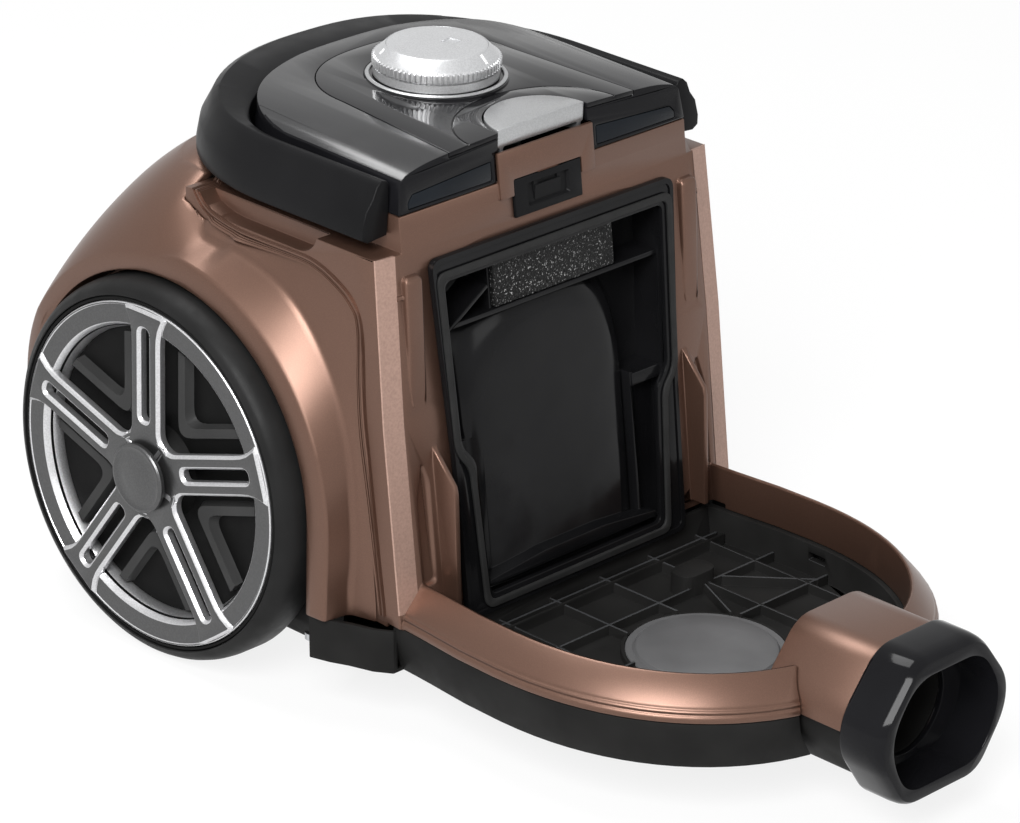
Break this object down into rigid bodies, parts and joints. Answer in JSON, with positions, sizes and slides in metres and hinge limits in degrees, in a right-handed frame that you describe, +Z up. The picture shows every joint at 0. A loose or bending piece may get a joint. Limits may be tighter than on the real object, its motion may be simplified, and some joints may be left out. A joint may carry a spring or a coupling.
{
  "type": "vacuum cleaner body",
  "caption": "Bagless cylinder vacuum cleaner body on large rear wheels, its dust bin lifted out: open deck, window into the bay, hose inlet, carry handle, power knob.",
  "frame": {"origin": "on the floor, under the middle of the overall box", "axes": "+Z up, -Y towards the hose inlet at the front, -X to the left as seen from the front"},
  "size_m": [0.2984, 0.4904, 0.2875],
  "materials": {
    "bronze": "satin metallic bronze",
    "black_satin": "satin black",
    "black_gloss": "gloss black",
    "silver": "satin silver",
    "steel": "brushed",
    "tyre": "smooth matt",
    "rubber": "matt",
    "grey_plastic": "matt grey",
    "foam": "open-cell foam",
    "circuit_board": "green",
    "filter_paper": "pleated"
  },
  "bodies": {
    "body": {"base_tray": "black_satin", "front_housing": "bronze", "rear_housing": "bronze", "bay_liner": "black_gloss", "bay_gasket": "rubber", "foam_filter": "foam", "latch_plate": "black_satin", "top_cover": "black_satin", "control_panel": "black_gloss", "left_front_strip": "black_gloss", "right_front_strip": "black_gloss", "knob_ring": "silver", "power_control": "grey_plastic", "control_board": "circuit_board", "left_handle_pin": "steel", "right_handle_pin": "steel", "caster_cap": "grey_plastic", "inlet_duct": "black_satin", "inlet_sleeve": "bronze", "inlet_collar": "black_gloss", "inlet_seal": "rubber", "motor_bulkhead": "black_satin", "front_motor_seal": "rubber", "fan_cover": "steel", "motor_housing": "steel", "rear_motor_mount": "rubber", "drum_bracket": "black_satin", "pedal_spring": "steel", "button_spring": "steel", "cord_gland": "rubber", "exhaust_filter": "filter_paper", "exhaust_grille": "black_satin", "left_axle_bolt": "steel", "right_axle_bolt": "steel", "body_screw_1": "steel", "body_screw_2": "steel", "body_screw_3": "steel", "body_screw_4": "steel"},
    "left_wheel": {"left_tyre": "tyre", "left_wheel_disc": "black_satin", "left_wheel_trim": "silver", "left_hub_cap": "silver"},
    "right_wheel": {"right_tyre": "tyre", "right_wheel_disc": "black_satin", "right_wheel_trim": "silver", "right_hub_cap": "silver"},
    "caster": {"caster_fork": "grey_plastic", "caster_pin": "steel"},
    "caster_roller": {"caster_wheel": "rubber"},
    "handle": {"carry_handle": "black_satin"},
    "power_knob": {"knob": "silver", "knob_cap": "silver"},
    "button": {"release_button": "silver"},
    "hook": {"latch_hook": "black_satin"},
    "rotor": {"armature": "steel", "fan_impeller": "steel"},
    "reel": {"cord_drum": "grey_plastic", "spring_case": "grey_plastic"},
    "pedal": {"rewind_pedal": "black_satin"},
    "brake": {"brake_lever": "grey_plastic"}
  },
  "joints": [
    {"name": "left_wheel_spin", "type": "hinge", "parent": "body", "child": "left_wheel", "pos_m": [-0.1285, 0.1248, 0.094], "axis": [1, 0, 0], "continuous": true},
    {"name": "right_wheel_spin", "type": "hinge", "parent": "body", "child": "right_wheel", "pos_m": [0.1285, 0.1248, 0.094], "axis": [1, 0, 0], "continuous": true},
    {"name": "caster_swivel", "type": "hinge", "parent": "body", "child": "caster", "pos_m": [0, -0.1032, 0.03], "axis": [0, 0, 1], "continuous": true},
    {"name": "caster_roll", "type": "hinge", "parent": "caster", "child": "caster_roller", "pos_m": [0, -0.0912, 0.013], "axis": [1, 0, 0], "continuous": true},
    {"name": "handle_lift", "type": "hinge", "parent": "body", "child": "handle", "pos_m": [0, 0.0208, 0.239], "axis": [1, 0, 0], "range_deg": [0, 80]},
    {"name": "knob_turn", "type": "hinge", "parent": "body", "child": "power_knob", "pos_m": [0, 0.0798, 0.2788], "axis": [0, 0, -1], "range_deg": [0, 270]},
    {"name": "button_press", "type": "slide", "parent": "body", "child": "button", "axis": [0, 0, -1], "range_m": [0, 0.004], "stiffness_N_per_m": 400, "springref_m": -0.004, "deforming": ["button_spring"]},
    {"name": "hook_back", "type": "slide", "parent": "body", "child": "hook", "axis": [0, 1, 0], "range_m": [0, 0.003]},
    {"name": "motor_spin", "type": "hinge", "parent": "body", "child": "rotor", "pos_m": [-0.036, 0.1348, 0.118], "axis": [0, 1, 0], "continuous": true},
    {"name": "reel_spin", "type": "hinge", "parent": "body", "child": "reel", "pos_m": [0.062, 0.1528, 0.118], "axis": [1, 0, 0], "continuous": true},
    {"name": "pedal_press", "type": "slide", "parent": "body", "child": "pedal", "axis": [0, 0, -1], "range_m": [0, 0.004], "stiffness_N_per_m": 600, "springref_m": -0.004, "deforming": ["pedal_spring"]},
    {"name": "brake_lift", "type": "hinge", "parent": "body", "child": "brake", "pos_m": [0.084, 0.1888, 0.185], "axis": [-1, 0, 0], "range_deg": [0, 23]}
  ],
  "couplings": [
    {"joint": "hook_back", "follows": "button_press", "ratio": 0.75},
    {"joint": "brake_lift", "follows": "pedal_press", "rad_per_m": 100}
  ]
}
